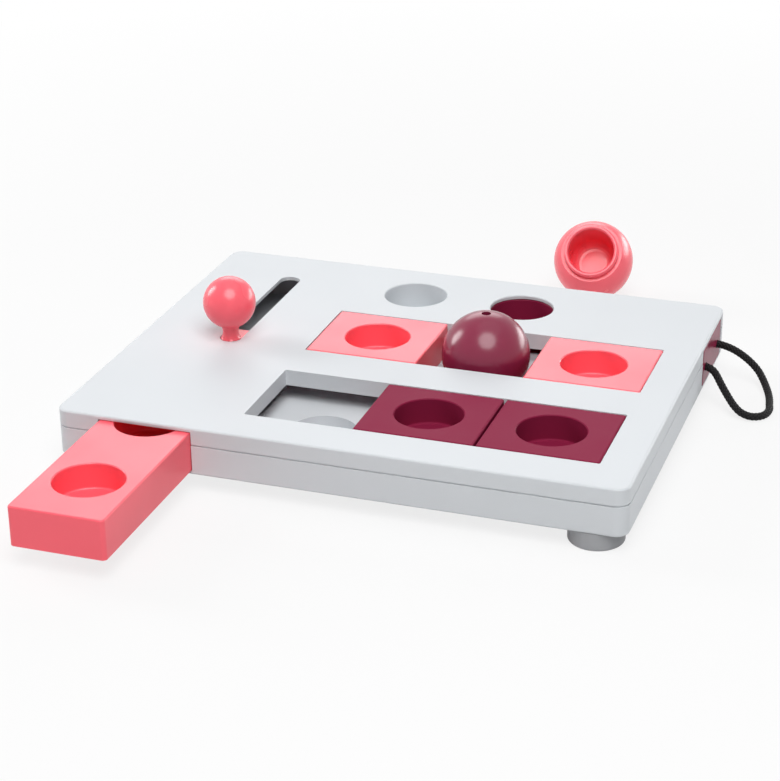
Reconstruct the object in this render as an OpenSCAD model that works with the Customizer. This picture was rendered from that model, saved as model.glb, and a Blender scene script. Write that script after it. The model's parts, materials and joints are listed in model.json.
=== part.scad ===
// Cat puzzle feeder: a low board with two drawers, two tracks of sliding tiles and two lift-off domes.
// Millimetres, +Z up. The origin is under the middle of the board, on the surface that it stands on.

/* [Board] */
// Height of the base tray's wall
tray_h = 14; // [13.5:0.5:16]
// Height of the top cover's rim
cover_h = 7.5; // [7:0.5:10]
// Radius of the board's upright corners
corner_r = 6; // [4:0.5:10]
// Radius along the cover's top edge
edge_r = 1; // [0.8:0.1:2]
// Radius along the tray's bottom edge
bottom_r = 1; // [0.5:0.1:2]
// Thickness of the outer walls
wall = 2.5; // [2:0.1:3]
// Thickness of the cover's top plate
plate_t = 1.8; // [1.8:0.1:2.5]
// Thickness of the tray's bottom plate
floor_t = 1.5; // [1.2:0.1:2]
// Height of the shadow line between cover and tray
seam_h = 0.6; // [0.3:0.1:1]
// Depth of that shadow line
seam_d = 0.5; // [0.3:0.1:1]
// Bare board to the left of the push drawer
left_margin = 20.7; // [19:0.1:30]
// Board between the push drawer and the tracks
push_web = 16.3; // [15:0.1:25]
// Bare board to the right of the tracks
right_margin = 16.4; // [14:0.1:25]
// Bare board in front of the front track
front_margin = 20.2; // [15:0.1:30]
// Board between the two tracks
track_web = 23.5; // [20:0.1:35]
// Board between the rear track and the pull drawer
pull_web = 8.2; // [8:0.1:15]
// Bare board behind the pull drawer
back_margin = 9.3; // [7:0.1:15]

/* [Tracks and tiles] */
// Length of a tile along its track
tile_l = 52.4; // [45:0.2:56]
// Depth of a tile across its track
tile_d = 47.6; // [42:0.2:52]
// How far a tile's top lies below the cover's top
tile_drop = 0; // [0:0.1:1]
// Depth of the track's floor below the cover's top
track_drop = 15; // [14:0.5:16]
// Thickness of the track's floor
deck_t = 1.8; // [1.2:0.1:2.5]
// Floor showing past each end and side of the tracks
deck_margin = 5; // [4:0.5:5.5]
// Thickness of a tile's walls
tile_wall = 1.5; // [1:0.1:2]
// Height of the foot that runs under the cover's track skirt
tile_foot_h = 6.8; // [4:0.2:7]
// Reach of that foot past the track opening
tile_foot_w = 2.4; // [1.6:0.2:3]
// Radius of a tile's corners and edges
tile_r = 0.8; // [0.4:0.1:1.5]
// Depth of a tile's treat well
tile_well_depth = 11.7; // [8:0.1:12]
// Room that two tiles leave free in a track
spare_l = 49.2; // [47:0.2:54]
// Gap at the ends of a track, and under a tile
end_gap = 0.3; // [0.2:0.05:0.6]
// Gap along each side of a tile
side_gap = 0.4; // [0.2:0.05:0.8]
// Thickness of the skirt round a track opening
skirt_t = 1.6; // [1.2:0.1:2]
// Gap that the front row's left tile stands open by
front_open = 1.1; // [0.5:0.1:3]
// Diameter of the treat wells and of the cover's round holes
well_d = 29.8; // [24:0.2:33]
// Chamfer round the mouth of a well
well_lip = 0.4; // [0.2:0.1:0.8]
// Radius round the floor of a well
well_floor_r = 1; // [0.5:0.1:2]
// Diameter of the dome seats in the track's floor
seat_d = 29.6; // [24:0.2:32]

/* [Fixed cup] */
// Middle of the fixed cup, from the board's left side
cup_x = 106.3; // [95:0.1:115]
// Depth of the fixed cup
cup_depth = 15.5; // [10:0.5:17]
// Thickness of the fixed cup's wall
cup_t = 1.5; // [1.2:0.1:2]

/* [Drawers] */
// Width of a drawer
drawer_w = 42; // [38:0.5:46]
// Running gap round a drawer
drawer_gap = 0.3; // [0.2:0.05:0.5]
// Thickness of a drawer's walls
drawer_wall = 1.8; // [1.4:0.1:2.2]
// Thickness of a drawer's front
drawer_front_t = 3; // [2:0.1:4]
// Radius of a drawer's upright edges
drawer_r = 2; // [1:0.1:3]
// Radius along a drawer's top edge
drawer_edge_r = 0.8; // [0.4:0.1:1.2]
// Depth of a drawer's wells
drawer_well_depth = 11.5; // [8:0.5:14]
// Reach of the stop ears at the back of a drawer
ear_w = 2.5; // [1.5:0.1:3]
// Length of a stop ear
ear_l = 8; // [5:0.5:12]
// Height of a stop ear
ear_h = 7; // [4:0.5:9]
// Thickness of the rails that the ears run along
rail_t = 1.5; // [1:0.1:2]
// Height of the rails
rail_h = 9; // [6:0.5:11]
// From the push drawer's front to its first well
push_well_at = 30.5; // [22:0.5:36]
// Pitch of the push drawer's wells
push_well_pitch = 57.7; // [38:0.1:62]
// From the push drawer's front to its knob
push_knob_at = 177.4; // [160:0.1:190]
// Push drawer behind its knob
push_tail = 15; // [12:0.5:20]
// Length of the pull drawer
pull_l = 112; // [110:1:125]
// How far the pull drawer opens
pull_travel = 70; // [50:1:90]
// From the pull drawer's face to its first well
pull_well_at = 37; // [34:0.5:42]
// Pitch of the pull drawer's wells
pull_well_pitch = 54; // [40:0.5:55]
// Thickness of the ribs under the push drawer
rib_t = 1.2; // [0.8:0.1:2]
// Number of those ribs
rib_count = 3; // [1:1:5]

/* [Knob] */
// Diameter of the knob's ball
ball_d = 24; // [18:0.5:30]
// Height of the neck between the cover's top and the ball
neck_h = 5.4; // [4:0.1:10]
// Diameter of the neck at its waist
waist_d = 7.2; // [6:0.1:8]
// Diameter of the collar that runs in the cover's slot
collar_d = 9.2; // [8.4:0.1:11]
// Diameter of the knob's tenon in the drawer
tenon_d = 5; // [4:0.1:5.5]
// Length of that tenon
tenon_l = 5; // [3:0.5:6]
// Diameter of the knob's screw
knob_screw_d = 2.4; // [2:0.1:2.8]
// Length of the knob's screw under its head
knob_screw_l = 12.8; // [10:0.2:14]
// Length of the collar's slot
slot_l = 83.6; // [70:0.1:90]
// Board in front of the slot
slot_margin = 90; // [80:0.5:100]
// Gap between the collar and each side of the slot
slot_gap = 0.4; // [0.3:0.05:0.6]
// Gap between the collar and each end of the slot
stop_gap = 0.35; // [0.3:0.05:0.6]

/* [Domes] */
// Diameter of a dome
dome_d = 40; // [36:0.5:44]
// Thickness of a dome's shell
dome_t = 2; // [1.5:0.1:2.5]
// From a dome's middle to the flat ring it stands on
dome_cut = 12.9; // [11:0.1:14]
// Length of the spigot that drops into a seat
spigot_l = 3.5; // [2:0.1:4.5]
// Gap between spigot and seat
seat_gap = 1.2; // [0.8:0.1:1.5]
// How far the berry dome stands to the right in its loose seat
dome_off = 0.9; // [0:0.1:1]
// Diameter of a dome's pocket
pocket_d = 23; // [18:0.5:24]
// Depth of a dome's pocket
pocket_depth = 22; // [15:0.5:23]
// Radius round the floor of a dome's pocket
pocket_r = 5; // [2:0.5:8]
// Chamfer round a dome's mouth
mouth_lip = 0.7; // [0.3:0.1:0.9]
// Reach of the bead that snaps in behind a dome's mouth
bead_w = 0.6; // [0.3:0.1:0.8]
// Diameter of the scent hole on top of a dome
vent_d = 4.2; // [3:0.1:6]
// Right of the board's middle to the loose dome
loose_x = 45.5; // [0:0.5:80]
// Between the board's back and the loose dome
loose_gap = 43.5; // [20:0.5:80]
// Rise of the loose dome's mouth above level
loose_rise = 38.5; // [0:0.5:60]
// Turn of the loose dome's mouth to the right
loose_turn = 7; // [-45:1:45]

/* [Feet and screws] */
// Height of a foot
foot_h = 8; // [6:0.5:12]
// Diameter of a foot
foot_d = 23.6; // [20:0.2:26]
// From the board's side to the middle of a foot
foot_in_x = 15; // [13:0.5:20]
// From the board's front or back to the middle of a foot
foot_in_y = 12; // [12:0.5:20]
// Radius along a foot's bottom edge
foot_r = 1.2; // [0.5:0.1:2]
// Diameter of the stub that a foot is pushed onto
stub_d = 16; // [10:0.5:17]
// Length of that stub
stub_l = 5; // [3:0.5:5.5]
// Diameter of the hollow under a foot
hollow_d = 14; // [8:0.5:16]
// Depth of that hollow
hollow_h = 0.8; // [0.4:0.1:1.5]
// Diameter of a screw's shank
screw_d = 3; // [2.5:0.1:3.2]
// Diameter of a screw's head
screw_head_d = 5.4; // [5:0.1:5.8]
// Height of a screw's head
screw_head_h = 2; // [1.5:0.1:2.5]
// Room round a screw in the tray
screw_gap = 0.3; // [0.1:0.05:0.4]
// Bite that the screws keep below the cover's plate
screw_short = 0.5; // [0.3:0.1:1.5]
// Diameter of a screw boss
boss_d = 7.6; // [7.2:0.1:8]
// Tray left above a screw's head
screw_grip = 5; // [3:0.5:8]
// From the board's front to the left side's first screw
screw_front_at = 55; // [40:1:70]
// From the board's front to the left side's second screw
screw_rear_at = 150; // [130:1:165]
// From the board's back to the back screw
screw_back_at = 15; // [10:1:25]

/* [Rope] */
// Diameter of the pull rope
rope_d = 3.5; // [3:0.1:4.5]
// Sides of the rope's tube
rope_sides = 8; // [8:1:12]
// From the drawer's side to the middle of a rope hole
rope_hole_in = 7.5; // [7.5:0.1:9]
// Height of the rope holes above the drawer's bottom
rope_hole_h = 7.2; // [6:0.1:9]
// Room round the rope in its holes
rope_gap = 0.3; // [0.2:0.05:0.6]
// Diameter of the knots behind the drawer's face
knot_d = 9; // [7:0.5:10]
// Length of a knot
knot_l = 8; // [6:0.5:10]
// Radius round a knot's ends
knot_r = 2.5; // [1:0.5:3]

/* [Hidden] */
$fn = 96;

// Colours of the plastics, the rubber, the rope and the screws
shell_white = [0.91, 0.93, 0.94];
coral_pink = [0.98, 0.42, 0.47];
dark_berry = [0.44, 0.12, 0.22];
foot_grey = [0.80, 0.81, 0.83];
rope_black = [0.05, 0.05, 0.06];
screw_steel = [0.70, 0.71, 0.73];

// Overlap of a cut past the face that it opens
past = 1;
// Radial gap of pieces pushed together by hand
push_fit = 0.05;

// Board outline, from the row of features that it carries
track_l = 2 * tile_l + spare_l + 2 * end_gap;
track_d = tile_d + 2 * side_gap;
body_w = left_margin + drawer_w + push_web + track_l + right_margin;
body_d = front_margin + 2 * track_d + track_web + pull_web + drawer_w + back_margin;

// Levels, from the surface that the board stands on
seam_z = foot_h + tray_h;
top_z = seam_z + cover_h;
plate_z = top_z - plate_t;
floor_z = foot_h + floor_t;
deck_z = top_z - track_drop;
tile_z0 = deck_z + end_gap;
tile_z1 = top_z - tile_drop;
drawer_z0 = floor_z + drawer_gap;
drawer_z1 = plate_z - drawer_gap;
drawer_h = drawer_z1 - drawer_z0;

// Places on the board, counted from its front left corner
function on_board(x, y) = [x - body_w / 2, y - body_d / 2, 0];
push_at_x = left_margin + drawer_w / 2;
track_at_x = left_margin + drawer_w + push_web;
front_track_y = front_margin + track_d / 2;
rear_track_y = front_track_y + track_d + track_web;
pull_at_y = rear_track_y + track_d / 2 + pull_web + drawer_w / 2;
web_y = (front_track_y + rear_track_y) / 2;

// Places along a track: left, middle and right
function place_x(i) = track_at_x + end_gap + tile_l / 2 + i * (tile_l + spare_l) / 2;
seats = [for (y = [front_track_y, rear_track_y], i = [0:2]) on_board(place_x(i), y)];
front_left_x = place_x(2) - tile_l - front_open;

// Channels of the drawers in the tray
channel_half = drawer_w / 2 + ear_w + drawer_gap;
mouth_w = drawer_w + 2 * drawer_gap;

// Push drawer: its knob stands at the front end of the slot
slot_w = collar_d + 2 * slot_gap;
knob_y = slot_margin + stop_gap + collar_d / 2;
push_front_y = knob_y - push_knob_at;
push_l = push_knob_at + push_tail;
// Underside of the boss that the knob's screw pulls against
knob_under_z = drawer_z1 - tenon_l - drawer_wall;

// Middle and ends of the hollow curve of the knob's neck
ball_r = ball_d / 2;
ball_z = top_z + neck_h + ball_r;
neck_half = (ball_z - sqrt(ball_r * ball_r - collar_d * collar_d / 4) - top_z) / 2;
neck_hollow = (collar_d - waist_d) / 2;
neck_curve_r = (neck_half * neck_half + neck_hollow * neck_hollow) / (2 * neck_hollow);

// Pull drawer: its face is level with the board's right side
pull_wells = [pull_well_at, pull_well_at + pull_well_pitch];
pull_back_x = body_w - pull_l;

// Track floor, in front of the pull drawer's rail
deck_x0 = track_at_x - deck_margin;
deck_x1 = track_at_x + track_l + deck_margin;
deck_y0 = front_track_y - track_d / 2 - deck_margin;
deck_y1 = rear_track_y + track_d / 2 + deck_margin;

// Screws stand in the webs between the moving pieces
screw_spots = [
    on_board((wall + push_at_x - channel_half - rail_t) / 2, screw_front_at),
    on_board((wall + push_at_x - channel_half - rail_t) / 2, screw_rear_at),
    on_board((push_at_x + channel_half + rail_t + deck_x0) / 2, body_d - screw_back_at),
    on_board((push_at_x + channel_half + rail_t + deck_x0) / 2, web_y),
    on_board(place_x(1), web_y),
    on_board((deck_x1 + body_w - wall) / 2, web_y)
];
screw_head_z = seam_z - screw_grip;
screw_tip_z = plate_z - screw_short;

// Feet under the four corners
function foot_spot(sx, sy) = [sx * (body_w / 2 - foot_in_x), sy * (body_d / 2 - foot_in_y), 0];

// Domes
dome_r = dome_d / 2;
spigot_r = seat_d / 2 - seat_gap;
berry_dome_at = on_board(place_x(1) + dome_off, rear_track_y) + [0, 0, deck_z + dome_cut];
pink_dome_at = [loose_x, body_d / 2 + loose_gap + dome_r, dome_r];

// Rope, counted from the middle of the pull drawer's face on the surface below: out of the back hole,
// down to the surface, along it and up again to the front hole
rope_y = drawer_w / 2 - rope_hole_in;
rope_z = drawer_z0 + rope_hole_h;
rope_loop = [
    [5, 13.3, 16.3], [9, 13, 14.9], [13, 12.6, 12.8], [16.8, 11.8, 10.3], [20.3, 9.9, 7.8], [23, 6.9, 5.5],
    [25.3, 2.9, 3.8], [27.4, -2.1, 2.6], [29, -7.9, 2.1], [30, -13.5, 1.9], [30.8, -18.6, 1.9],
    [30.1, -23.9, 1.9], [27.6, -27.4, 1.9], [23.7, -29.2, 2.3], [19.6, -29.1, 3.6], [16.2, -27.2, 5.5],
    [13.8, -24.8, 7.1], [11.4, -22.3, 9], [8.6, -19.4, 11.5], [5.1, -15.6, 14.8], [2.5, -14.2, 16.4]];
rope_route = concat(
    [[-drawer_front_t, rope_y, rope_z], [1, rope_y, rope_z]],
    rope_loop,
    [[-0.5, -rope_y, rope_z], [-drawer_front_t, -rope_y, rope_z]]);
rope_last = len(rope_route) - 1;
rope_ends = [rope_route[0], rope_route[rope_last]];
// Direction that the loop never runs along, which sets the tube's rings
rope_up = [0.45, 0, 0.9];

// Points of a quarter round of radius e, from the side at x to the top at h
function quarter_round(x, h, e, steps = 6) =
    [for (i = [0:steps]) [x - e + e * cos(90 * i / steps), h - e + e * sin(90 * i / steps)]];

// Rectangle with round corners, centred
module round_rect(w, d, r) {
    square([w - 2 * r, d], center = true);
    square([w, d - 2 * r], center = true);
    for (x = [-1, 1], y = [-1, 1]) translate([x * (w / 2 - r), y * (d / 2 - r)]) circle(r);
}

// Upright block with round corners
module upright_block(w, d, h, r) {
    linear_extrude(h) round_rect(w, d, r);
}

// Slab with upright corners of radius r and a rounded top edge of radius e
module soft_slab(w, d, h, r, e) {
    side = concat([[0, 0], [r, 0]], quarter_round(r, h, e), [[0, h]]);
    translate([r - w / 2, r - d / 2, 0]) cube([w - 2 * r, d - 2 * r, h]);
    for (turn = [0:3]) {
        reach = (turn % 2 == 0 ? w : d) / 2 - r;
        run = (turn % 2 == 0 ? d : w) - 2 * r;
        rotate(90 * turn) translate([reach, run / 2, 0]) {
            rotate([90, 0, 0]) linear_extrude(run) polygon(side);
            rotate_extrude(angle = 90) polygon(side);
        }
    }
}

// Cutter for a round well: mouth at z = 0 with a chamfer, rounded floor
module well_cut(depth) {
    r = well_d / 2;
    floor_round = [for (p = quarter_round(r, depth, well_floor_r)) [p.x, -p.y]];
    rotate_extrude() polygon(concat(
        [[0, past], [r + well_lip, past], [r + well_lip, 0], [r, -well_lip]], floor_round, [[0, -depth]]));
}

// Cutter for a plain round hole through a plate, with a chamfered mouth at z = 0
module hole_cut(depth) {
    r = well_d / 2;
    rotate_extrude() polygon([[0, past], [r + well_lip, past], [r + well_lip, 0], [r, -well_lip],
        [r, -depth - past], [0, -depth - past]]);
}

// Cutter for the knob's slot, centred, with round ends
module slot_cut(depth) {
    run = slot_l - slot_w;
    translate([-slot_w / 2, -run / 2, 0]) cube([slot_w, run, depth]);
    for (y = [-1, 1]) translate([0, y * run / 2, 0]) cylinder(d = slot_w, h = depth);
}

// Drawer pointing along +Y from its face at y = 0, open underneath, with stop ears on its sides
module drawer(length, wells, ears_at) {
    difference() {
        union() {
            difference() {
                translate([0, length / 2, 0]) soft_slab(drawer_w, length, drawer_h, drawer_r, drawer_edge_r);
                translate([-drawer_w / 2 + drawer_wall, drawer_front_t, -past])
                    cube([drawer_w - 2 * drawer_wall, length - drawer_front_t - drawer_wall,
                        drawer_h - drawer_wall + past]);
            }
            for (y = wells) translate([0, y, drawer_h - drawer_well_depth - drawer_wall])
                cylinder(d = well_d + 2 * drawer_wall, h = drawer_well_depth);
            for (x = [-1, 1])
                translate([x * (drawer_w + ear_w - drawer_wall) / 2, ears_at + ear_l / 2, ear_h / 2])
                    cube([ear_w + drawer_wall, ear_l, ear_h], center = true);
        }
        for (y = wells) translate([0, y, drawer_h]) well_cut(drawer_well_depth);
    }
}

// Tile over its place on the track: a stepped cap whose feet run under the cover's skirt
module tile(x, y) {
    h = tile_z1 - tile_z0;
    feet_d = track_d + 2 * tile_foot_w;
    inner_l = tile_l - 2 * tile_wall;
    inner_d = tile_d - 2 * tile_wall;
    inner_feet_d = feet_d - 2 * tile_wall;
    translate(on_board(x, y) + [0, 0, tile_z0]) difference() {
        union() {
            difference() {
                union() {
                    soft_slab(tile_l, tile_d, h, tile_r, tile_r);
                    translate([-tile_l / 2, -feet_d / 2, 0]) cube([tile_l, feet_d, tile_foot_h]);
                }
                translate([-inner_l / 2, -inner_d / 2, -past])
                    cube([inner_l, inner_d, h - tile_wall + past]);
                translate([-inner_l / 2, -inner_feet_d / 2, -past])
                    cube([inner_l, inner_feet_d, tile_foot_h - tile_wall + past]);
            }
            translate([0, 0, h - tile_well_depth - tile_wall])
                cylinder(d = well_d + 2 * tile_wall, h = tile_well_depth + tile_wall / 2);
        }
        translate([0, 0, h]) well_cut(tile_well_depth);
    }
}

// Rubber foot: a cap that is pushed onto the tray's stub, hollow underneath
module foot(sx, sy) {
    r = foot_d / 2;
    bore_r = stub_d / 2 + push_fit;
    bore_z = foot_h - stub_l - push_fit;
    edge = [for (p = quarter_round(r, foot_h, foot_r)) [p.x, foot_h - p.y]];
    color(foot_grey) translate(foot_spot(sx, sy)) rotate_extrude() polygon(concat(
        [[0, hollow_h], [hollow_d / 2, hollow_h], [hollow_d / 2, 0]],
        [for (i = [len(edge) - 1:-1:0]) edge[i]],
        [[r, foot_h], [bore_r, foot_h], [bore_r, bore_z], [0, bore_z]]));
}

// Outer ball of a dome about its own middle: flat ring below, scent hole on top
module dome_shell() {
    difference() {
        sphere(dome_r);
        sphere(dome_r - dome_t);
        translate([0, 0, -dome_r - past]) cylinder(r = dome_r + past, h = dome_r + past - dome_cut);
        translate([0, 0, -dome_cut - past]) cylinder(r = spigot_r + push_fit, h = dome_cut + past);
        cylinder(d = vent_d, h = dome_r + past);
    }
}

// Cup that closes a dome from below: spigot, pocket and the bead that snaps in behind the shell's mouth
module dome_cup() {
    inner_r = dome_r - dome_t - push_fit;
    wall_r = pocket_d / 2;
    mouth_z = -dome_cut - spigot_l;
    bead_r = spigot_r + bead_w;
    bead_z = -sqrt(inner_r * inner_r - bead_r * bead_r);
    shut_z = -sqrt(inner_r * inner_r - spigot_r * spigot_r);
    floor_in = mouth_z + pocket_depth;
    bowl = quarter_round(wall_r, floor_in, pocket_r);
    rotate_extrude() polygon(concat(
        [[0, floor_in]], [for (i = [len(bowl) - 1:-1:0]) bowl[i]],
        [[wall_r, mouth_z + mouth_lip], [wall_r + mouth_lip, mouth_z],
        [spigot_r - mouth_lip, mouth_z], [spigot_r, mouth_z + mouth_lip],
        [spigot_r, shut_z], [bead_r, bead_z], [spigot_r, bead_z + 2 * bead_w],
        [spigot_r, floor_in + dome_t], [0, floor_in + dome_t]]));
}

// Place of the loose dome: lying on its ball, mouth towards the front
module lay_loose() {
    translate(pink_dome_at) rotate([-90 - loose_rise, 0, loose_turn]) children();
}

// Places a drawer's own frame on the board
module place_push() {
    translate(on_board(push_at_x, push_front_y) + [0, 0, drawer_z0]) children();
}
module place_pull() {
    translate(on_board(body_w, pull_at_y) + [0, 0, drawer_z0]) rotate(90) children();
}
module place_rope() {
    translate(on_board(body_w, pull_at_y)) children();
}

// Ring i of the rope's tube, square to the route, and square to the drawer's face at both ends
function unit(v) = v / norm(v);
function rope_dir(i) = i == 0 ? [1, 0, 0] : i == rope_last ? [-1, 0, 0] :
    unit(rope_route[i + 1] - rope_route[i - 1]);
function rope_ring(i) = let (u = unit(cross(rope_dir(i), rope_up)), v = cross(rope_dir(i), u))
    [for (k = [0:rope_sides - 1]) let (a = 360 * k / rope_sides)
        rope_route[i] + rope_d / 2 * (u * cos(a) + v * sin(a))];

// Tray's mouths for the two drawers, from the floor up through the seam
module drawer_mouths(z0, z1) {
    through = wall + 2 * past;
    translate(on_board(push_at_x, 0) + [-mouth_w / 2, -past, z0]) cube([mouth_w, through, z1 - z0]);
    translate(on_board(body_w, pull_at_y) + [-wall - past, -mouth_w / 2, z0])
        cube([through, mouth_w, z1 - z0]);
}

module base_tray() {
    deck_w = deck_x1 - deck_x0;
    deck_l = deck_y1 - deck_y0;
    rail_z0 = foot_h + floor_t / 2;
    rail_y0 = wall / 2;
    rail_off = channel_half + rail_t / 2;
    pull_rail_l = pull_l + drawer_gap + rail_t - wall / 2;
    pull_rail_x = body_w - wall / 2 - pull_rail_l;
    color(shell_white) difference() {
        union() {
            difference() {
                union() {
                    // Outer shell, rounded below, with a set-back lip that makes the shadow line
                    difference() {
                        union() {
                            translate([0, 0, seam_z - seam_h]) mirror([0, 0, 1])
                                soft_slab(body_w, body_d, tray_h - seam_h, corner_r, bottom_r);
                            translate([0, 0, floor_z])
                                upright_block(body_w - 2 * seam_d, body_d - 2 * seam_d, seam_z - floor_z,
                                    corner_r - seam_d);
                        }
                        translate([0, 0, floor_z]) upright_block(body_w - 2 * wall, body_d - 2 * wall,
                            tray_h, corner_r - wall);
                    }
                    // Raised floor under both tracks
                    translate(on_board(deck_x0, deck_y0) + [0, 0, foot_h])
                        cube([deck_w, deck_l, deck_z - foot_h]);
                }
                translate(on_board(deck_x0, deck_y0) + [floor_t, floor_t, foot_h - past])
                    cube([deck_w - 2 * floor_t, deck_l - 2 * floor_t, deck_z - deck_t - foot_h + past]);
            }
            // Seats for domes and treats, hanging from the raised floor
            for (p = seats) translate(p + [0, 0, foot_h])
                cylinder(d = seat_d + 2 * floor_t, h = deck_z - foot_h - deck_t / 2);
            // Rails of the push drawer
            for (x = [-1, 1])
                translate(on_board(push_at_x + x * rail_off - rail_t / 2, rail_y0) + [0, 0, rail_z0])
                    cube([rail_t, body_d - 2 * rail_y0, rail_h]);
            // Rails of the pull drawer and the rib that it closes against
            for (y = [-1, 1])
                translate(on_board(pull_rail_x, pull_at_y + y * rail_off - rail_t / 2) + [0, 0, rail_z0])
                    cube([pull_rail_l, rail_t, rail_h]);
            translate(on_board(pull_rail_x, pull_at_y - rail_off) + [0, 0, rail_z0])
                cube([rail_t, 2 * rail_off, rail_h]);
            for (p = screw_spots) translate(p + [0, 0, foot_h]) cylinder(d = boss_d, h = tray_h);
            for (x = [-1, 1], y = [-1, 1]) translate(foot_spot(x, y) + [0, 0, foot_h - stub_l])
                cylinder(d = stub_d, h = stub_l + floor_t / 2);
        }
        for (p = seats) translate(p + [0, 0, floor_z]) cylinder(d = seat_d, h = deck_z);
        drawer_mouths(floor_z, seam_z + past);
        for (p = screw_spots) translate(p) {
            cylinder(d = screw_d + 2 * screw_gap, h = top_z);
            cylinder(d = screw_head_d + 2 * screw_gap, h = screw_head_z);
        }
    }
}

module top_cover() {
    rim_h = plate_z - seam_z;
    bond_h = cover_h - plate_t / 2;
    tracks = [for (y = [front_track_y, rear_track_y]) on_board(track_at_x + track_l / 2, y)];
    color(shell_white) difference() {
        union() {
            difference() {
                translate([0, 0, seam_z]) soft_slab(body_w, body_d, cover_h, corner_r, edge_r);
                translate([0, 0, seam_z - past]) upright_block(body_w - 2 * wall, body_d - 2 * wall,
                    rim_h + past, corner_r - wall);
            }
            // Skirts that hold the tiles down
            for (p = tracks) translate(p + [0, 0, seam_z])
                upright_block(track_l + 2 * skirt_t, track_d + 2 * skirt_t, bond_h, tile_r + skirt_t);
            // Fixed cup
            translate(on_board(cup_x, pull_at_y) + [0, 0, top_z - cup_depth - cup_t])
                cylinder(d = well_d + 2 * cup_t, h = cup_depth + cup_t - plate_t / 2);
            for (p = screw_spots) translate(p + [0, 0, seam_z]) cylinder(d = boss_d, h = bond_h);
        }
        for (p = tracks) translate(p + [0, 0, seam_z - past])
            upright_block(track_l, track_d, cover_h + 2 * past, tile_r);
        translate(on_board(cup_x, pull_at_y) + [0, 0, top_z]) well_cut(cup_depth);
        translate(on_board(body_w - pull_wells[1], pull_at_y) + [0, 0, top_z]) hole_cut(plate_t);
        translate(on_board(push_at_x, slot_margin + slot_l / 2) + [0, 0, plate_z - past])
            slot_cut(plate_t + 2 * past);
        drawer_mouths(seam_z - past, plate_z);
        for (p = screw_spots) translate(p + [0, 0, seam_z - past])
            cylinder(d = screw_d + 2 * push_fit, h = screw_tip_z + push_fit - seam_z + past);
    }
}

module case_screws() {
    color(screw_steel) for (p = screw_spots) translate(p) {
        translate([0, 0, screw_head_z - screw_head_h]) cylinder(d = screw_head_d, h = screw_head_h);
        translate([0, 0, screw_head_z]) cylinder(d = screw_d, h = screw_tip_z - screw_head_z);
    }
}

module push_drawer() {
    wells = [push_well_at, push_well_at + push_well_pitch];
    boss_h = tenon_l + drawer_wall;
    rib_from = wells[1] + well_d / 2 + drawer_wall;
    rib_pitch = (push_knob_at - tenon_d - rib_from) / (rib_count + 1);
    color(coral_pink) place_push() difference() {
        union() {
            drawer(push_l, wells, push_l - ear_l - drawer_r);
            translate([0, push_knob_at, drawer_h - boss_h])
                cylinder(d = tenon_d + 2 * drawer_wall, h = boss_h - drawer_edge_r);
            // Cross ribs between the wells and the knob
            for (i = [1:rib_count])
                translate([-drawer_w / 2 + drawer_wall / 2, rib_from + i * rib_pitch, drawer_h / 2])
                    cube([drawer_w - drawer_wall, rib_t, drawer_h / 2 - drawer_edge_r]);
        }
        translate([0, push_knob_at, drawer_h - tenon_l])
            cylinder(d = tenon_d + 2 * push_fit, h = tenon_l + past);
        translate([0, push_knob_at, 0]) cylinder(d = knob_screw_d + 2 * screw_gap, h = drawer_h);
    }
}

module push_knob() {
    sweep = asin(neck_half / neck_curve_r);
    steps = 10;
    neck = [for (i = [0:steps]) let (a = sweep * (2 * i / steps - 1))
        [waist_d / 2 + neck_curve_r * (1 - cos(a)), top_z + neck_half + neck_curve_r * sin(a)]];
    tenon_z = drawer_z1 - tenon_l + push_fit;
    color(coral_pink) translate(on_board(push_at_x, knob_y)) difference() {
        union() {
            translate([0, 0, ball_z]) sphere(ball_r);
            rotate_extrude() polygon(concat(
                [[0, tenon_z], [tenon_d / 2, tenon_z], [tenon_d / 2, drawer_z1], [collar_d / 2, drawer_z1]],
                neck, [[0, ball_z]]));
        }
        translate([0, 0, knob_under_z]) cylinder(d = knob_screw_d + 2 * push_fit, h = knob_screw_l + past);
    }
}

module knob_screw() {
    color(screw_steel) translate(on_board(push_at_x, knob_y) + [0, 0, knob_under_z]) {
        translate([0, 0, -screw_head_h]) cylinder(d = screw_head_d, h = screw_head_h);
        cylinder(d = knob_screw_d, h = knob_screw_l);
    }
}

module pull_drawer() {
    color(dark_berry) difference() {
        place_pull() drawer(pull_l, pull_wells, wall + pull_travel + stop_gap);
        place_rope() for (p = rope_ends) translate(p - [past, 0, 0]) rotate([0, 90, 0])
            cylinder(d = rope_d + 2 * rope_gap, h = drawer_front_t + 2 * past);
    }
}

module pull_rope() {
    s = rope_sides;
    end = rope_last * s;
    color(rope_black) place_rope() polyhedron(
        points = [for (i = [0:rope_last]) each rope_ring(i)],
        faces = concat(
            [for (k = [1:s - 2]) [0, k, k + 1]],
            [for (k = [1:s - 2]) [end, end + k + 1, end + k]],
            [for (i = [0:rope_last - 1], k = [0:s - 1]) [i * s + k, (i + 1) * s + k, i * s + (k + 1) % s]],
            [for (i = [0:rope_last - 1], k = [0:s - 1])
                [i * s + (k + 1) % s, (i + 1) * s + k, (i + 1) * s + (k + 1) % s]]));
}

// Knots behind the drawer's face: short barrels with rounded ends
module rope_knots() {
    far_end = quarter_round(knot_d / 2, knot_l, knot_r);
    near_end = [for (i = [len(far_end) - 1:-1:0]) [far_end[i].x, knot_l - far_end[i].y]];
    color(rope_black) place_rope() for (p = rope_ends) translate(p) rotate([0, -90, 0])
        rotate_extrude() polygon(concat([[0, 0]], near_end, far_end, [[0, knot_l]]));
}

module berry_dome_shell() {
    color(dark_berry) translate(berry_dome_at) dome_shell();
}

module berry_dome_cup() {
    color(dark_berry) translate(berry_dome_at) dome_cup();
}

module pink_dome_shell() {
    color(coral_pink) lay_loose() dome_shell();
}

module pink_dome_cup() {
    color(coral_pink) lay_loose() dome_cup();
}

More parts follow.
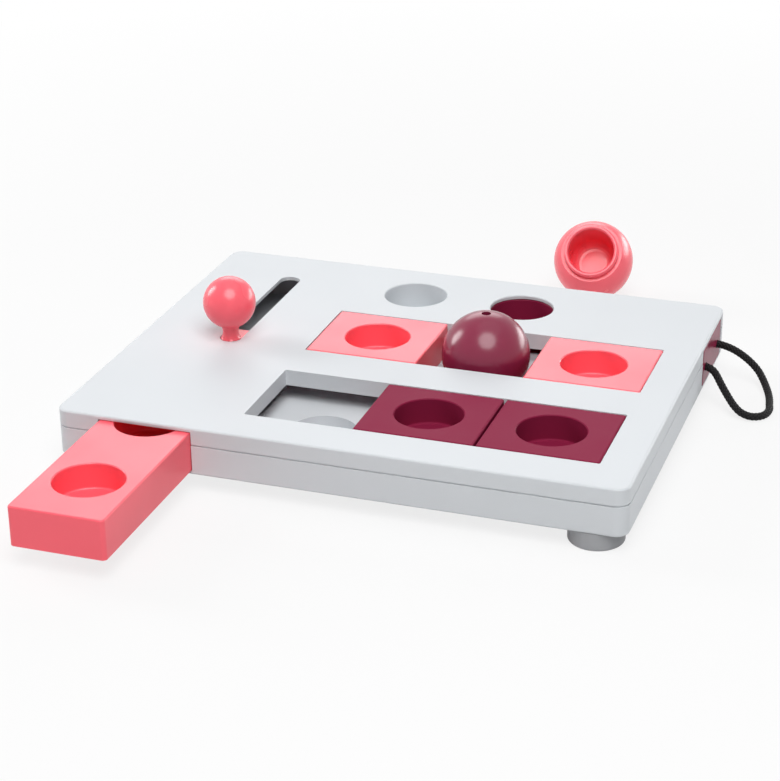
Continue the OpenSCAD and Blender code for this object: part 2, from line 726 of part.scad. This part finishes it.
base_tray();
top_cover();
foot(-1, -1);  // foot_front_left
foot(1, -1);  // foot_front_right
foot(-1, 1);  // foot_rear_left
foot(1, 1);  // foot_rear_right
case_screws();
push_drawer();
push_knob();
knob_screw();
pull_drawer();
pull_rope();
rope_knots();
color(dark_berry) tile(front_left_x, front_track_y);  // front_tile_left
color(dark_berry) tile(place_x(2), front_track_y);  // front_tile_right
color(coral_pink) tile(place_x(0), rear_track_y);  // rear_tile_left
color(coral_pink) tile(place_x(2), rear_track_y);  // rear_tile_right
berry_dome_shell();
berry_dome_cup();
pink_dome_shell();
pink_dome_cup();
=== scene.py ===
# Cat puzzle feeder: finishes, rounded edges and the braided rope, around the fixed frame of solids
import json
import math

import bmesh
import bpy
from mathutils import Matrix, Vector


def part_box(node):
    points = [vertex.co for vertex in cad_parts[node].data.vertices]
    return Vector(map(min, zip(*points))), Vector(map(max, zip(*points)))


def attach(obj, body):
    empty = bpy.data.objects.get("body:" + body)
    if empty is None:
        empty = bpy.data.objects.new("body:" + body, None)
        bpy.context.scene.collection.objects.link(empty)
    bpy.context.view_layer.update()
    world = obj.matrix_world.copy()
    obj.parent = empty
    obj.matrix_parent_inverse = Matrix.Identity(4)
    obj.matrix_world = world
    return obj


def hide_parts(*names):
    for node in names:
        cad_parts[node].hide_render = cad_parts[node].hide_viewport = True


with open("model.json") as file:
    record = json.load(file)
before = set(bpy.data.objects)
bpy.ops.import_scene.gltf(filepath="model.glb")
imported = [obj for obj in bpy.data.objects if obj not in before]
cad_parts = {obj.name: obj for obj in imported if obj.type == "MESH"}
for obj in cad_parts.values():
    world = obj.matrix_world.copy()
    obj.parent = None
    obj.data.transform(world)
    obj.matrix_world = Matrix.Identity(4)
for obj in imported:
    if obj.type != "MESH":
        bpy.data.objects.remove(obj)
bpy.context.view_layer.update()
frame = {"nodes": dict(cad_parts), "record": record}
nodes = frame["nodes"]
scene = bpy.context.scene
MM = 0.001


# Camera
CAMERA_AT = (0.28273, -0.83583, 0.41563)
CAMERA_TARGET = (-0.00879, 0.00179, 0.01002)
CAMERA_ROLL = math.radians(0.632)
CLIP_NEAR = 0.05
CLIP_FAR = 50.0
FOCAL_PX = 2145.57
LONG_SIDE_PX = 781
SENSOR_MM = 36.0


def make_camera():
    data = bpy.data.cameras.new("camera")
    data.sensor_width = SENSOR_MM
    data.lens = FOCAL_PX * SENSOR_MM / LONG_SIDE_PX
    data.clip_start = CLIP_NEAR
    data.clip_end = CLIP_FAR
    camera = bpy.data.objects.new("camera", data)
    scene.collection.objects.link(camera)
    look = Vector(CAMERA_TARGET) - Vector(CAMERA_AT)
    aim = look.to_track_quat("-Z", "Y").to_matrix().to_4x4()
    roll = Matrix.Rotation(-CAMERA_ROLL, 4, "Z")
    camera.matrix_world = Matrix.Translation(CAMERA_AT) @ aim @ roll
    scene.camera = camera


# Building blocks of the materials
# Noise mostly lies between these two values
NOISE_LOW = 0.3
NOISE_HIGH = 0.7


def new_material(name):
    material = bpy.data.materials.new(name)
    material.use_nodes = True
    tree = material.node_tree
    return material, tree, tree.nodes["Principled BSDF"]


def noise(tree, scale, detail):
    """Noise in object space, with scale in cells per metre."""
    place = tree.nodes.new("ShaderNodeTexCoord")
    node = tree.nodes.new("ShaderNodeTexNoise")
    node.inputs["Scale"].default_value = scale
    node.inputs["Detail"].default_value = detail
    tree.links.new(place.outputs["Object"], node.inputs["Vector"])
    return node.outputs["Fac"]


def ramp(tree, value, low, high, from_low=NOISE_LOW, from_high=NOISE_HIGH):
    """The value, stretched from its own range to low and high."""
    node = tree.nodes.new("ShaderNodeMapRange")
    node.inputs["From Min"].default_value = from_low
    node.inputs["From Max"].default_value = from_high
    node.inputs["To Min"].default_value = low
    node.inputs["To Max"].default_value = high
    tree.links.new(value, node.inputs["Value"])
    return node.outputs["Result"]


def tint(tree, value, colour_a, colour_b):
    node = tree.nodes.new("ShaderNodeMix")
    node.data_type = "RGBA"
    node.inputs["A"].default_value = (*colour_a, 1)
    node.inputs["B"].default_value = (*colour_b, 1)
    tree.links.new(value, node.inputs["Factor"])
    return node.outputs["Result"]


def bump(tree, height, strength, distance):
    node = tree.nodes.new("ShaderNodeBump")
    node.inputs["Strength"].default_value = strength
    node.inputs["Distance"].default_value = distance
    tree.links.new(height, node.inputs["Height"])
    return node.outputs["Normal"]


# Moulded plastic and rubber: faint flow clouds in the colour, uneven gloss and a fine grain
FLOW_SCALE = 22
FLOW_DARKEST = 0.97
GLOSS_SCALE = 45
GLOSS_SPREAD = 0.03
GRAIN_SCALE = 700
GRAIN_HEIGHT = 0.03 * MM
PINK = (0.97, 0.117, 0.156)
BERRY = (0.23, 0.014, 0.05)
SHELL_WHITE = (0.64, 0.665, 0.69)
FOOT_GREY = (0.36, 0.365, 0.38)
# Colour, roughness, specular level and strength of the grain
PLASTICS = {
    "shell_plastic": (SHELL_WHITE, 0.5, 0.2, 0.04),
    "pink_plastic": (PINK, 0.34, 0.5, 0.04),
    "pink_polished": (PINK, 0.25, 0.5, 0.04),
    "berry_plastic": (BERRY, 0.30, 0.09, 0.04),
    "berry_matt": (BERRY, 0.42, 0.03, 0.04),
    "berry_polished": (BERRY, 0.24, 0.45, 0.0),
    "foot_rubber": (FOOT_GREY, 0.62, 0.3, 0.3),
}


def plastic(name, colour, roughness, specular, grain):
    material, tree, shader = new_material(name)
    darker = [c * FLOW_DARKEST for c in colour]
    clouds = tint(tree, noise(tree, FLOW_SCALE, detail=4), darker, colour)
    tree.links.new(clouds, shader.inputs["Base Color"])
    patches = noise(tree, GLOSS_SCALE, detail=2)
    gloss = ramp(tree, patches, roughness - GLOSS_SPREAD, roughness + GLOSS_SPREAD)
    tree.links.new(gloss, shader.inputs["Roughness"])
    pits = bump(tree, noise(tree, GRAIN_SCALE, detail=0), grain, GRAIN_HEIGHT)
    tree.links.new(pits, shader.inputs["Normal"])
    shader.inputs["Specular IOR Level"].default_value = specular
    return material


# Plated screws with an uneven gloss
STEEL = (0.62, 0.63, 0.65, 1)
STEEL_SCALE = 900
STEEL_ROUGHNESS = (0.22, 0.42)


def screw_steel():
    material, tree, shader = new_material("screw_steel")
    shader.inputs["Metallic"].default_value = 1.0
    shader.inputs["Base Color"].default_value = STEEL
    gloss = ramp(tree, noise(tree, STEEL_SCALE, detail=3), *STEEL_ROUGHNESS)
    tree.links.new(gloss, shader.inputs["Roughness"])
    return material


# Black polyester yarn with fine fibres
YARN_DARK = (0.004, 0.004, 0.0045)
YARN_PALE = (0.013, 0.012, 0.013)
YARN_SCALE = 420
YARN_GLOSS_SCALE = 1500
YARN_ROUGHNESS = (0.45, 0.70)
YARN_SPECULAR = 0.18
FIBRE_SCALE = 5200
FIBRE_HEIGHT = 0.1 * MM
FIBRE_STRENGTH = 0.3


def rope_cord():
    material, tree, shader = new_material("rope_cord")
    yarn = tint(tree, noise(tree, YARN_SCALE, detail=3), YARN_DARK, YARN_PALE)
    tree.links.new(yarn, shader.inputs["Base Color"])
    gloss = ramp(tree, noise(tree, YARN_GLOSS_SCALE, detail=2), *YARN_ROUGHNESS)
    tree.links.new(gloss, shader.inputs["Roughness"])
    fibres = bump(tree, noise(tree, FIBRE_SCALE, detail=2), FIBRE_STRENGTH, FIBRE_HEIGHT)
    tree.links.new(fibres, shader.inputs["Normal"])
    shader.inputs["Specular IOR Level"].default_value = YARN_SPECULAR
    return material


def make_materials():
    made = {name: plastic(name, *finish) for name, finish in PLASTICS.items()}
    made["screw_steel"] = screw_steel()
    made["rope_cord"] = rope_cord()
    return made


# Stage
WHITE = (1, 1, 1, 1)
FLOOR_HALF = 5
FLOOR_COLOUR = (0.74, 0.74, 0.74, 1)
FLOOR_ROUGHNESS = 0.9
# Share of plain white in the floor as it is seen: the rest is its lit colour, with the shadows
FLOOR_GLOW = 0.80
# The floor has that share out to the first distance, and is all plain white from the second one on
SHADOW_REACH = 0.32
FLOOR_WHITE_FROM = 0.75


def background_rays(tree):
    """1 on rays that see the background itself: camera, glossy and transmission rays."""
    path = tree.nodes.new("ShaderNodeLightPath")
    total = path.outputs["Is Camera Ray"]
    for kind in ("Is Glossy Ray", "Is Transmission Ray"):
        either = tree.nodes.new("ShaderNodeMath")
        either.operation = "MAXIMUM"
        tree.links.new(total, either.inputs[0])
        tree.links.new(path.outputs[kind], either.inputs[1])
        total = either.outputs["Value"]
    return total


def floor_material():
    material, tree, shader = new_material("floor")
    shader.inputs["Base Color"].default_value = FLOOR_COLOUR
    shader.inputs["Roughness"].default_value = FLOOR_ROUGHNESS
    shader.inputs["Specular IOR Level"].default_value = 0.0
    place = tree.nodes.new("ShaderNodeNewGeometry")
    reach = tree.nodes.new("ShaderNodeVectorMath")
    reach.operation = "LENGTH"
    tree.links.new(place.outputs["Position"], reach.inputs[0])
    glow_share = ramp(tree, reach.outputs["Value"], FLOOR_GLOW, 1.0, SHADOW_REACH, FLOOR_WHITE_FROM)
    glow = tree.nodes.new("ShaderNodeEmission")
    share = tree.nodes.new("ShaderNodeMath")
    share.operation = "MULTIPLY"
    blend = tree.nodes.new("ShaderNodeMixShader")
    tree.links.new(background_rays(tree), share.inputs[0])
    tree.links.new(glow_share, share.inputs[1])
    tree.links.new(share.outputs["Value"], blend.inputs["Fac"])
    tree.links.new(shader.outputs["BSDF"], blend.inputs[1])
    tree.links.new(glow.outputs["Emission"], blend.inputs[2])
    tree.links.new(blend.outputs["Shader"], tree.nodes["Material Output"].inputs["Surface"])
    return material


def make_stage():
    mesh = bpy.data.meshes.new("floor")
    corners = [(FLOOR_HALF * x, FLOOR_HALF * y, 0) for x, y in ((-1, -1), (1, -1), (1, 1), (-1, 1))]
    mesh.from_pydata(corners, [], [(0, 1, 2, 3)])
    mesh.materials.append(floor_material())
    floor = bpy.data.objects.new("floor", mesh)
    scene.collection.objects.link(floor)


# Light
SKY_LEVEL = 0.12
LIT_POINT = (0, 0, 0.02)
# Direction from the board, distance and size in metres, and power in watts
SOFTBOXES = {
    "front_softbox": ((0.21, -0.475, 0.855), 1.6, (1.2, 1.3), 23),
    "overhead_softbox": ((0.1, 0.1, 1), 1.7, (1.6, 1.6), 3),
    "left_softbox": ((-0.911, 0.105, 0.400), 1.4, (0.5, 0.75), 8.5),
    "right_softbox": ((0.57, 0.81, 0.10), 1.6, (1.2, 0.5), 9),
    "window_softbox": ((-0.29, 0.84, 0.46), 1.8, (1.4, 0.9), 7),
}


def softbox(name, direction, distance, size, power):
    data = bpy.data.lights.new(name, "AREA")
    data.shape = "ELLIPSE"
    data.size, data.size_y = size
    data.energy = power
    lamp = bpy.data.objects.new(name, data)
    scene.collection.objects.link(lamp)
    lamp.location = Vector(LIT_POINT) + Vector(direction).normalized() * distance
    lamp.rotation_mode = "QUATERNION"
    lamp.rotation_quaternion = (Vector(LIT_POINT) - lamp.location).to_track_quat("-Z", "Y")


def make_light():
    world = bpy.data.worlds.new("studio")
    world.use_nodes = True
    scene.world = world
    tree = world.node_tree
    sky = tree.nodes["Background"]
    sky.inputs["Color"].default_value = WHITE
    sky.inputs["Strength"].default_value = SKY_LEVEL
    backdrop = tree.nodes.new("ShaderNodeBackground")
    backdrop.inputs["Color"].default_value = WHITE
    blend = tree.nodes.new("ShaderNodeMixShader")
    tree.links.new(background_rays(tree), blend.inputs["Fac"])
    tree.links.new(sky.outputs["Background"], blend.inputs[1])
    tree.links.new(backdrop.outputs["Background"], blend.inputs[2])
    tree.links.new(blend.outputs["Shader"], tree.nodes["World Output"].inputs["Surface"])
    for name, settings in SOFTBOXES.items():
        softbox(name, *settings)
    scene.view_settings.view_transform = "Standard"


# Rope: twelve-plait braid along the route of the frame's rope, in millimetres
# The route is measured from the middle of the pull drawer's face, at the height of the surface
ROPE_D = 3.6
ROPE_ROUTE = [
    (-3, 13.5, 17), (1, 13.5, 17), (5, 13.3, 16.3), (9, 13, 14.9), (13, 12.6, 12.8),
    (16.8, 11.8, 10.3), (20.3, 9.9, 7.8), (23, 6.9, 5.5), (25.3, 2.9, 3.8), (27.4, -2.1, 2.6),
    (29, -7.9, 2.1), (30, -13.5, 1.9), (30.8, -18.6, 1.9), (30.1, -23.9, 1.9), (27.6, -27.4, 1.9),
    (23.7, -29.2, 2.3), (19.6, -29.1, 3.6), (16.2, -27.2, 5.5), (13.8, -24.8, 7.1), (11.4, -22.3, 9),
    (8.6, -19.4, 11.5), (5.1, -15.6, 14.8), (2.5, -14.2, 16.4), (-0.5, -13.5, 17), (-3, -13.5, 17),
]
STRANDS_PER_HAND = 6
STRAND_SIDES = 6
STRAND_HALF_W = 0.56
STRAND_HALF_T = 0.28
# Length of one full turn of a strand, and how far it rises and dips as it passes over and under
LAY = 10.8
WEAVE = 0.16
BRAID_STEP = 0.19
CORE_SIDES = 10
# Steps of the strands from one ring of the core to the next
CORE_EVERY = 4
# Steps of the curve between two points of a route
CURVE_STEPS = 16
KNOT_D = 9.0
KNOT_L = 8.0
KNOT_TURNS = 2.3
KNOT_STEPS = 40
# Share of a knot's run over which its turns reach their full width
KNOT_WIDENING = 0.2


def spline_points(route, step):
    """Even points along a Catmull-Rom curve through the route, and the curve's length."""
    pts = [Vector(p) for p in route]
    ends = [2 * pts[0] - pts[1]] + pts + [2 * pts[-1] - pts[-2]]
    dense = []
    for a, b, c, d in zip(ends, ends[1:], ends[2:], ends[3:]):
        for k in range(CURVE_STEPS):
            t = k / CURVE_STEPS
            dense.append(0.5 * (2 * b + (c - a) * t + (2 * a - 5 * b + 4 * c - d) * t * t
                                + (3 * b - a - 3 * c + d) * t ** 3))
    dense.append(pts[-1])
    run = [0.0]
    for p, q in zip(dense, dense[1:]):
        run.append(run[-1] + (q - p).length)
    count = max(2, round(run[-1] / step))
    even = []
    j = 0
    for i in range(count + 1):
        at = run[-1] * i / count
        while j < len(run) - 2 and run[j + 1] < at:
            j += 1
        share = (at - run[j]) / max(run[j + 1] - run[j], 1e-9)
        even.append(dense[j].lerp(dense[j + 1], share))
    return even, run[-1]


def direction_at(points, i):
    return (points[min(i + 1, len(points) - 1)] - points[max(i - 1, 0)]).normalized()


def moving_axes(points):
    """A twist-free pair of cross directions at each point."""
    side = direction_at(points, 0).cross(Vector((0, 0, 1))).normalized()
    axes = []
    for i in range(len(points)):
        along = direction_at(points, i)
        side = (side - along * side.dot(along)).normalized()
        axes.append((side, along.cross(side)))
    return axes


def tube(bm, centres, axes, half_w, half_t, sides):
    """Closed tube of an oval section through the centres, with flat ends."""
    angles = [2 * math.pi * k / sides for k in range(sides)]
    rings = []
    for c, (u, v) in zip(centres, axes):
        rings.append([bm.verts.new(c + half_w * math.cos(a) * u + half_t * math.sin(a) * v) for a in angles])
    for r, s in zip(rings, rings[1:]):
        for k in range(sides):
            bm.faces.new((r[k], r[(k + 1) % sides], s[(k + 1) % sides], s[k]))
    bm.faces.new(reversed(rings[0]))
    bm.faces.new(rings[-1])


def strand(bm, centres, axes, step, middle, hand, start):
    """One flat strand of the braid, wound in the given hand from its start, a share of a turn."""
    path = []
    outward = []
    for i, (c, (u, v)) in enumerate(zip(centres, axes)):
        turns = i * step / (LAY * MM)
        angle = 2 * math.pi * (hand * turns + start)
        out = math.cos(angle) * u + math.sin(angle) * v
        wave = hand * WEAVE * MM * math.cos(2 * math.pi * STRANDS_PER_HAND * turns)
        path.append(c + (middle + wave) * out)
        outward.append(out)
    sections = []
    for i, out in enumerate(outward):
        sections.append((direction_at(path, i).cross(out).normalized(), out))
    tube(bm, path, sections, STRAND_HALF_W * MM, STRAND_HALF_T * MM, STRAND_SIDES)


def braid(bm, route):
    """Round braid along a route: two hands of strands that cross over and under, on a core."""
    middle = (ROPE_D / 2 - STRAND_HALF_T - WEAVE) * MM
    centres, length = spline_points(route, BRAID_STEP * MM)
    axes = moving_axes(centres)
    step = length / (len(centres) - 1)
    for hand in (1, -1):
        for s in range(STRANDS_PER_HAND):
            strand(bm, centres, axes, step, middle, hand, s / STRANDS_PER_HAND)
    core_r = middle - STRAND_HALF_T / 2 * MM
    core_centres = centres[::CORE_EVERY] + [centres[-1]]
    core_axes = axes[::CORE_EVERY] + [axes[-1]]
    tube(bm, core_centres, core_axes, core_r, core_r, CORE_SIDES)
    return centres, length


def new_piece(name, bm, material, body):
    bmesh.ops.recalc_face_normals(bm, faces=bm.faces)
    mesh = bpy.data.meshes.new(name)
    bm.to_mesh(mesh)
    bm.free()
    for face in mesh.polygons:
        face.use_smooth = True
    mesh.materials.append(MATERIALS[material])
    piece = bpy.data.objects.new(name, mesh)
    scene.collection.objects.link(piece)
    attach(piece, body)
    return piece


def ease(t):
    """Smooth rise from 0 to 1."""
    t = min(max(t, 0.0), 1.0)
    return t * t * (3 - 2 * t)


def knot_route(end):
    """A stopper knot behind the face: the rope's end wound round itself, back from the hole."""
    turn_r = (KNOT_D - ROPE_D) / 2
    first = end[0] - ROPE_D / 2
    run = KNOT_L - ROPE_D
    points = [end]
    for i in range(KNOT_STEPS + 1):
        t = i / KNOT_STEPS
        r = turn_r * ease(t / KNOT_WIDENING)
        a = 2 * math.pi * KNOT_TURNS * t
        points.append((first - run * t, end[1] + r * math.cos(a), end[2] + r * math.sin(a)))
    return points


def make_rope():
    low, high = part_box("pull_drawer")
    face = Vector((high[0], (low[1] + high[1]) / 2, 0))
    route = [face + Vector(p) * MM for p in ROPE_ROUTE]
    bm = bmesh.new()
    centres, length = braid(bm, route)
    rope = new_piece("rope_braid", bm, "rope_cord", "pull_drawer")
    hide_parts("pull_rope")
    bm = bmesh.new()
    for end in (ROPE_ROUTE[0], ROPE_ROUTE[-1]):
        braid(bm, [face + Vector(p) * MM for p in knot_route(end)])
    knots = new_piece("rope_end_knots", bm, "rope_cord", "pull_drawer")
    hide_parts("rope_knots")


# Carried-over solids: welded, cleared of flat seams, with the small radii of a mould in millimetres
# The knob and the dome pieces have no radius here: they keep their own even shading
FEET = ["foot_" + row + "_" + side for row in ("front", "rear") for side in ("left", "right")]
TILES = [row + "_tile_" + side for row in ("front", "rear") for side in ("left", "right")]
EDGE_RADIUS = {
    "top_cover": 0.7,
    **dict.fromkeys(["base_tray", "push_drawer", "pull_drawer", *FEET], 0.5),
    **dict.fromkeys(TILES, 0.4),
    **dict.fromkeys(["case_screws", "knob_screw"], 0.2),
}
EDGE_SEGMENTS = 3
EDGE_ANGLE = math.radians(40)
FLAT_ANGLE = math.radians(0.5)
WELD_GAP = 0.002
# Pieces from a polished or a matt mould, unlike the rest of their plastic
OWN_FINISH = {
    **dict.fromkeys(["push_knob", "pink_dome_shell", "pink_dome_cup"], "pink_polished"),
    **dict.fromkeys(["berry_dome_shell", "berry_dome_cup"], "berry_polished"),
    **dict.fromkeys(["front_tile_left", "front_tile_right"], "berry_matt"),
}


def round_edges(obj, radius):
    weld = obj.modifiers.new("weld", "WELD")
    weld.merge_threshold = WELD_GAP * MM
    flat = obj.modifiers.new("flat", "DECIMATE")
    flat.decimate_type = "DISSOLVE"
    flat.angle_limit = FLAT_ANGLE
    edge = obj.modifiers.new("edge", "BEVEL")
    edge.width = radius * MM
    edge.segments = EDGE_SEGMENTS
    edge.limit_method = "ANGLE"
    edge.angle_limit = EDGE_ANGLE
    edge.use_clamp_overlap = True
    shade = obj.modifiers.new("shade", "WEIGHTED_NORMAL")
    shade.keep_sharp = False


def dress_solids():
    slots = {row["node"]: row["material_slot"] for row in frame["record"]["subparts"]}
    for name, obj in nodes.items():
        obj.data.materials.clear()
        obj.data.materials.append(MATERIALS[OWN_FINISH.get(name, slots[name])])
        for face in obj.data.polygons:
            face.use_smooth = True
        if name in EDGE_RADIUS:
            round_edges(obj, EDGE_RADIUS[name])


make_camera()
MATERIALS = make_materials()
make_rope()
dress_solids()
make_stage()
make_light()
